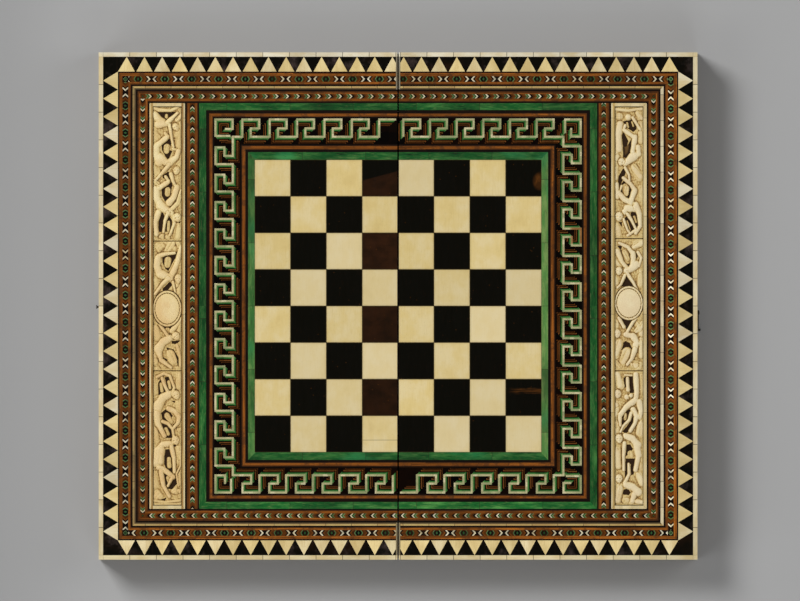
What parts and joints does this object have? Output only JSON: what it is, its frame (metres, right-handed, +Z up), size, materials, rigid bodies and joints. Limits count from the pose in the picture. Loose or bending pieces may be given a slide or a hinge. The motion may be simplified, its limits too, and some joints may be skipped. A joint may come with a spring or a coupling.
{
  "type": "folding game board",
  "caption": "Folding box board for chess and tables: two shallow hinged trays with bone, horn and mosaic inlay, carved side panels, and a hook that locks the folded box.",
  "frame": {"origin": "on the seam between the trays, in the middle of the board's depth, at the level of the surface that the open board stands on", "axes": "+X to the right across both trays, +Y to the back along the seam, +Z up out of the chess face"},
  "size_m": [0.7277, 0.61, 0.0569],
  "materials": {
    "bone": "satin, polished bone",
    "carved_bone": "carved bone, gilt and grimy in the hollows",
    "green_bone": "green-stained bone, satin",
    "horn": "dark polished horn",
    "mosaic": "blocks of wood, bone and green bone, sawn flush",
    "black_wood": "black-stained wood, satin",
    "brown_wood": "brown wood, satin",
    "dark_wood": "dark wood veneer, satin",
    "carcass_wood": "dark-stained wood",
    "iron": "wrought iron, dark"
  },
  "bodies": {
    "left_half": {"left_core_panel": "carcass_wood", "left_front_wall": "carcass_wood", "left_back_wall": "carcass_wood", "left_outer_wall": "carcass_wood", "left_spine_wall": "carcass_wood", "left_rim_strips": "bone", "left_side_plates": "bone", "left_lining": "dark_wood", "left_inner_line": "bone", "left_light_points": "bone", "left_dark_points": "green_bone", "left_edge_strips": "bone", "left_bone_triangles": "bone", "left_horn_triangles": "horn", "left_outer_mosaic": "mosaic", "left_bone_stringing": "bone", "left_fine_mosaic": "mosaic", "left_black_lines": "black_wood", "left_brown_strips": "brown_wood", "left_green_fillets": "green_bone", "left_key_ground": "black_wood", "left_key_line": "bone", "left_bone_squares": "bone", "left_horn_squares": "horn", "left_carved_plaques": "carved_bone", "left_panel_frame": "bone", "left_hinge_leaves": "iron", "left_leaf_nails": "iron", "hinge_pins": "iron", "catch_stud": "iron"},
    "right_half": {"right_core_panel": "carcass_wood", "right_front_wall": "carcass_wood", "right_back_wall": "carcass_wood", "right_outer_wall": "carcass_wood", "right_spine_wall": "carcass_wood", "right_rim_strips": "bone", "right_side_plates": "bone", "right_lining": "dark_wood", "right_inner_line": "bone", "right_light_points": "bone", "right_dark_points": "green_bone", "right_edge_strips": "bone", "right_bone_triangles": "bone", "right_horn_triangles": "horn", "right_outer_mosaic": "mosaic", "right_bone_stringing": "bone", "right_fine_mosaic": "mosaic", "right_black_lines": "black_wood", "right_brown_strips": "brown_wood", "right_green_fillets": "green_bone", "right_key_ground": "black_wood", "right_key_line": "bone", "right_bone_squares": "bone", "right_horn_squares": "horn", "right_carved_plaques": "carved_bone", "right_panel_frame": "bone", "right_hinge_leaves": "iron", "right_leaf_nails": "iron", "hook_stud": "iron"},
    "hook": {"hook": "iron"}
  },
  "joints": [
    {"name": "fold", "type": "hinge", "parent": "left_half", "child": "right_half", "pos_m": [0, 0, 0.0018], "axis": [0, 1, 0], "range_deg": [0, 180]},
    {"name": "hook_turn", "type": "hinge", "parent": "right_half", "child": "hook", "pos_m": [0.36, -0.008, 0.012], "axis": [1, 0, 0], "range_deg": [-115, 84.74]}
  ]
}
